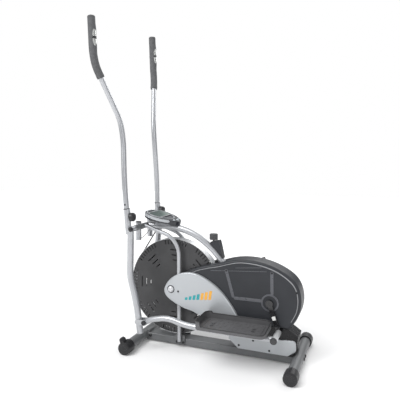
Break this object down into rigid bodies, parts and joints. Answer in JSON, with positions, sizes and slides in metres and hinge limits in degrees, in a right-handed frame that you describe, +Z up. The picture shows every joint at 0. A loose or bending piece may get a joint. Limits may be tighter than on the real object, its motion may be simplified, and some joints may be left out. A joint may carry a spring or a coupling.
{
  "type": "elliptical trainer",
  "caption": "Elliptical trainer with swinging handlebars, foot trays on a crank, a slotted fan wheel with a brake strap, and a small console.",
  "frame": {"origin": "on the floor, under the middle of the whole machine at rest", "axes": "+Z up, -X towards the fan wheel, +X towards the user's end, -Y to the user's left as the user faces the wheel"},
  "size_m": [0.988, 0.5112, 1.6019],
  "materials": {
    "silver_paint": "smooth silver powder coat",
    "grey_paint": "satin mid-grey powder coat",
    "black_metal": "black zinc and powder coat",
    "steel": "zinc-plated steel",
    "charcoal_plastic": "fine-grained moulded",
    "fan_plastic": "moulded, dull",
    "silver_plastic": "metallic silver moulding",
    "tray_plastic": "moulded with a tread",
    "foam": "closed-cell foam",
    "sensor_plate": "bright contact plate",
    "black_plastic": "moulded",
    "display_glass": "grey-green display window",
    "button_plastic": "pale moulded",
    "reflector": "white reflector",
    "strap": "woven brake strap",
    "cable": "wire sheath"
  },
  "bodies": {
    "frame": {"base_rail": "grey_paint", "front_stabiliser": "grey_paint", "rear_stabiliser": "grey_paint", "stabiliser_caps": "black_plastic", "frame_fasteners": "black_metal", "arch_tube": "silver_paint", "cross_tube": "silver_paint", "pivot_shaft": "black_metal", "side_tubes": "silver_paint", "foot_brackets": "black_metal", "crank_support": "black_metal", "crank_bearings": "steel", "wheel_axle": "steel", "drive_chain": "steel", "left_cover": "charcoal_plastic", "right_cover": "charcoal_plastic", "front_cover": "silver_plastic", "lower_cover": "charcoal_plastic", "lower_panels": "silver_plastic", "cover_screws": "steel", "tension_housing": "charcoal_plastic", "brake_strap": "strap", "console_body": "charcoal_plastic", "console_bezel": "silver_plastic", "console_display": "display_glass", "pulse_wire": "cable"},
    "fan_wheel": {"fan_rim": "steel", "fan_disc_left": "fan_plastic", "fan_disc_right": "fan_plastic", "fan_hub": "fan_plastic", "fan_sprocket": "steel"},
    "crank": {"crank_axle": "steel", "chainring": "steel", "crank_arm_left": "black_metal", "crank_arm_right": "black_metal", "crank_reflectors": "reflector"},
    "tension_knob": {"tension_knob": "black_plastic"},
    "button_left": {"console_button_left": "button_plastic"},
    "button_middle": {"console_button_middle": "button_plastic"},
    "button_right": {"console_button_right": "button_plastic"},
    "swing_left": {"swing_arm_left": "silver_paint", "handlebar_left": "silver_paint", "grip_left": "foam", "pulse_sensor_left": "sensor_plate", "arm_joint_bolt_left": "steel"},
    "pedal_left": {"pedal_arm_left": "silver_paint", "foot_tray_left": "tray_plastic", "pedal_bolts_left": "steel"},
    "clamp_knob_left": {"clamp_knob_left": "black_plastic"},
    "wheel_left": {"transport_wheel_left": "black_plastic"},
    "swing_right": {"swing_arm_right": "silver_paint", "handlebar_right": "silver_paint", "grip_right": "foam", "pulse_sensor_right": "sensor_plate", "arm_joint_bolt_right": "steel"},
    "pedal_right": {"pedal_arm_right": "silver_paint", "foot_tray_right": "tray_plastic", "pedal_bolts_right": "steel"},
    "clamp_knob_right": {"clamp_knob_right": "black_plastic"},
    "wheel_right": {"transport_wheel_right": "black_plastic"}
  },
  "joints": [
    {"name": "crank_turn", "type": "hinge", "parent": "frame", "child": "crank", "pos_m": [0.333, 0, 0.284], "axis": [0, 1, 0], "continuous": true},
    {"name": "fan_turn", "type": "hinge", "parent": "frame", "child": "fan_wheel", "pos_m": [-0.1586, 0, 0.302], "axis": [0, 1, 0], "continuous": true},
    {"name": "tension_turn", "type": "hinge", "parent": "frame", "child": "tension_knob", "pos_m": [0.0414, 0, 0.56], "axis": [0, 0, 1], "range_deg": [0, 270]},
    {"name": "button_left_press", "type": "slide", "parent": "frame", "child": "button_left", "axis": [-0.2504, 0, -0.9681], "range_m": [0, 0.0015], "stiffness_N_per_m": 300, "springref_m": -0.0005},
    {"name": "button_middle_press", "type": "slide", "parent": "frame", "child": "button_middle", "axis": [-0.2504, 0, -0.9681], "range_m": [0, 0.0015], "stiffness_N_per_m": 300, "springref_m": -0.0005},
    {"name": "button_right_press", "type": "slide", "parent": "frame", "child": "button_right", "axis": [-0.2504, 0, -0.9681], "range_m": [0, 0.0015], "stiffness_N_per_m": 300, "springref_m": -0.0005},
    {"name": "left_arm_swing", "type": "hinge", "parent": "frame", "child": "swing_left", "pos_m": [-0.3186, -0.12, 0.6025], "axis": [0, 1, 0], "range_deg": [-13, 21]},
    {"name": "left_pedal_level", "type": "hinge", "parent": "swing_left", "child": "pedal_left", "pos_m": [-0.25335, -0.1536, 0.1503], "axis": [0, 1, 0], "range_deg": [-21, 13]},
    {"name": "left_clamp_turn", "type": "hinge", "parent": "swing_left", "child": "clamp_knob_left", "pos_m": [-0.34625, -0.1536, 0.65912], "axis": [0.9996, 0, 0.029], "range_deg": [0, 270]},
    {"name": "left_wheel_roll", "type": "hinge", "parent": "frame", "child": "wheel_left", "pos_m": [-0.3451, -0.2169, 0.0685], "axis": [0, 1, 0], "continuous": true},
    {"name": "right_arm_swing", "type": "hinge", "parent": "frame", "child": "swing_right", "pos_m": [-0.3186, 0.12, 0.6025], "axis": [0, 1, 0], "range_deg": [-21, 13]},
    {"name": "right_pedal_level", "type": "hinge", "parent": "swing_right", "child": "pedal_right", "pos_m": [-0.28614, 0.1536, 0.14677], "axis": [0, 1, 0], "range_deg": [-13, 21]},
    {"name": "right_clamp_turn", "type": "hinge", "parent": "swing_right", "child": "clamp_knob_right", "pos_m": [-0.3421, 0.1536, 0.66097], "axis": [0.9991, 0, -0.0432], "range_deg": [0, 270]},
    {"name": "right_wheel_roll", "type": "hinge", "parent": "frame", "child": "wheel_right", "pos_m": [-0.3451, 0.2169, 0.0685], "axis": [0, 1, 0], "continuous": true}
  ],
  "couplings": [
    {"joint": "fan_turn", "follows": "crank_turn", "ratio": 2.3571},
    {"joint": "left_pedal_level", "follows": "left_arm_swing", "ratio": -1},
    {"joint": "right_arm_swing", "follows": "left_arm_swing", "ratio": -1},
    {"joint": "right_pedal_level", "follows": "left_arm_swing", "ratio": 1}
  ]
}
